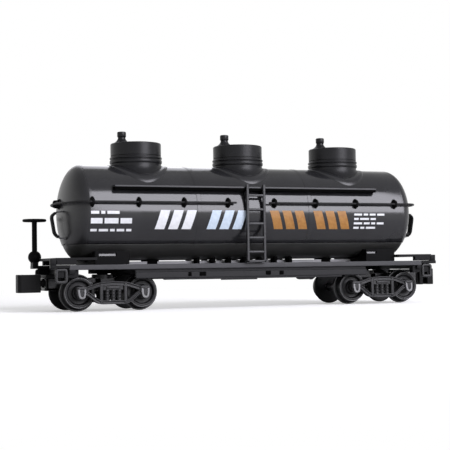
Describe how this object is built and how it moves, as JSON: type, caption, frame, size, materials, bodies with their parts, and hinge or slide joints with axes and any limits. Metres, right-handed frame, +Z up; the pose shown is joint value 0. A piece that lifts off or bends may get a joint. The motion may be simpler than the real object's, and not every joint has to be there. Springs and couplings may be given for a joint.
{
  "type": "model tank wagon",
  "caption": "Model railway tank wagon: domed cylindrical tank with ladders and handrails on a flat underframe, rolling on swivelling trucks with sprung hook couplers.",
  "frame": {"origin": "midway between the trucks on the wagon's centre line, level with the lowest point of the wheel flanges", "axes": "+X along the wagon towards the end without the hand brake, +Y across it towards the far side, +Z up"},
  "size_m": [0.0814, 0.0186, 0.0312],
  "materials": {
    "tank_black": "satin",
    "fitting_black": "satin",
    "frame_black": "matte",
    "truck_black": "matte",
    "wheel_black": "satin",
    "axle_steel": "turned",
    "weight_steel": "raw",
    "screw_steel": "plated",
    "spring_metal": "drawn wire"
  },
  "bodies": {
    "chassis": {"tank_shell": "tank_black", "tank_belly": "tank_black", "dome_1": "tank_black", "dome_lid_1": "tank_black", "safety_valve_1": "fitting_black", "dome_2": "tank_black", "dome_lid_2": "tank_black", "safety_valve_2": "fitting_black", "dome_3": "tank_black", "dome_lid_3": "tank_black", "safety_valve_3": "fitting_black", "walkway_near": "tank_black", "ladder_near": "fitting_black", "walkway_far": "tank_black", "ladder_far": "fitting_black", "handrail_b": "fitting_black", "end_grab_b": "fitting_black", "tank_strap_b": "tank_black", "saddle_b": "frame_black", "end_platform_b": "frame_black", "handrail_a": "fitting_black", "end_grab_a": "fitting_black", "tank_strap_a": "tank_black", "saddle_a": "frame_black", "end_platform_a": "frame_black", "handrail_posts": "fitting_black", "brake_housing": "fitting_black", "underframe": "frame_black", "centre_sill": "frame_black", "stirrup_steps": "frame_black", "brake_cylinder": "frame_black", "king_pins": "frame_black", "weight_bar": "weight_steel", "body_screws": "screw_steel"},
    "truck_b": {"bolster_b": "truck_black", "pocket_lid_b": "truck_black", "sideframe_near_b": "truck_black", "sideframe_far_b": "truck_black"},
    "wheelset_outer_b": {"axle_outer_b": "axle_steel", "wheels_outer_b": "wheel_black"},
    "wheelset_inner_b": {"axle_inner_b": "axle_steel", "wheels_inner_b": "wheel_black"},
    "coupler_swing_b": {"coupler_spring_b": "spring_metal"},
    "coupler_b": {"coupler_b": "truck_black"},
    "truck_a": {"bolster_a": "truck_black", "pocket_lid_a": "truck_black", "sideframe_near_a": "truck_black", "sideframe_far_a": "truck_black"},
    "wheelset_outer_a": {"axle_outer_a": "axle_steel", "wheels_outer_a": "wheel_black"},
    "wheelset_inner_a": {"axle_inner_a": "axle_steel", "wheels_inner_a": "wheel_black"},
    "coupler_swing_a": {"coupler_spring_a": "spring_metal"},
    "coupler_a": {"coupler_a": "truck_black"},
    "brake_handwheel": {"brake_staff": "fitting_black", "brake_wheel": "fitting_black"}
  },
  "joints": [
    {"name": "truck_b_swivel", "type": "hinge", "parent": "chassis", "child": "truck_b", "pos_m": [-0.0257, 0, 0.0062], "axis": [0, 0, 1], "range_deg": [-15, 15]},
    {"name": "wheelset_outer_b_spin", "type": "hinge", "parent": "truck_b", "child": "wheelset_outer_b", "pos_m": [-0.0312, 0, 0.00315], "axis": [0, 1, 0], "continuous": true},
    {"name": "wheelset_inner_b_spin", "type": "hinge", "parent": "truck_b", "child": "wheelset_inner_b", "pos_m": [-0.0202, 0, 0.00315], "axis": [0, 1, 0], "continuous": true},
    {"name": "coupler_b_swing", "type": "hinge", "parent": "truck_b", "child": "coupler_swing_b", "pos_m": [-0.03503, 0, 0.0048], "axis": [0, 0, 1], "range_deg": [-8, 8], "stiffness_Nm_per_rad": 0.002},
    {"name": "coupler_b_lift", "type": "hinge", "parent": "coupler_swing_b", "child": "coupler_b", "pos_m": [-0.03503, 0, 0.0048], "axis": [0, 1, 0], "range_deg": [-3, 6], "stiffness_Nm_per_rad": 0.002},
    {"name": "truck_a_swivel", "type": "hinge", "parent": "chassis", "child": "truck_a", "pos_m": [0.0257, 0, 0.0062], "axis": [0, 0, 1], "range_deg": [-15, 15]},
    {"name": "wheelset_outer_a_spin", "type": "hinge", "parent": "truck_a", "child": "wheelset_outer_a", "pos_m": [0.0312, 0, 0.00315], "axis": [0, 1, 0], "continuous": true},
    {"name": "wheelset_inner_a_spin", "type": "hinge", "parent": "truck_a", "child": "wheelset_inner_a", "pos_m": [0.0202, 0, 0.00315], "axis": [0, 1, 0], "continuous": true},
    {"name": "coupler_a_swing", "type": "hinge", "parent": "truck_a", "child": "coupler_swing_a", "pos_m": [0.03503, 0, 0.0048], "axis": [0, 0, 1], "range_deg": [-8, 8], "stiffness_Nm_per_rad": 0.002},
    {"name": "coupler_a_lift", "type": "hinge", "parent": "coupler_swing_a", "child": "coupler_a", "pos_m": [0.03503, 0, 0.0048], "axis": [0, -1, 0], "range_deg": [-3, 6], "stiffness_Nm_per_rad": 0.002},
    {"name": "brake_wheel_turn", "type": "hinge", "parent": "chassis", "child": "brake_handwheel", "pos_m": [-0.03615, 0.0065, 0.016], "axis": [0, 0, 1], "continuous": true}
  ]
}
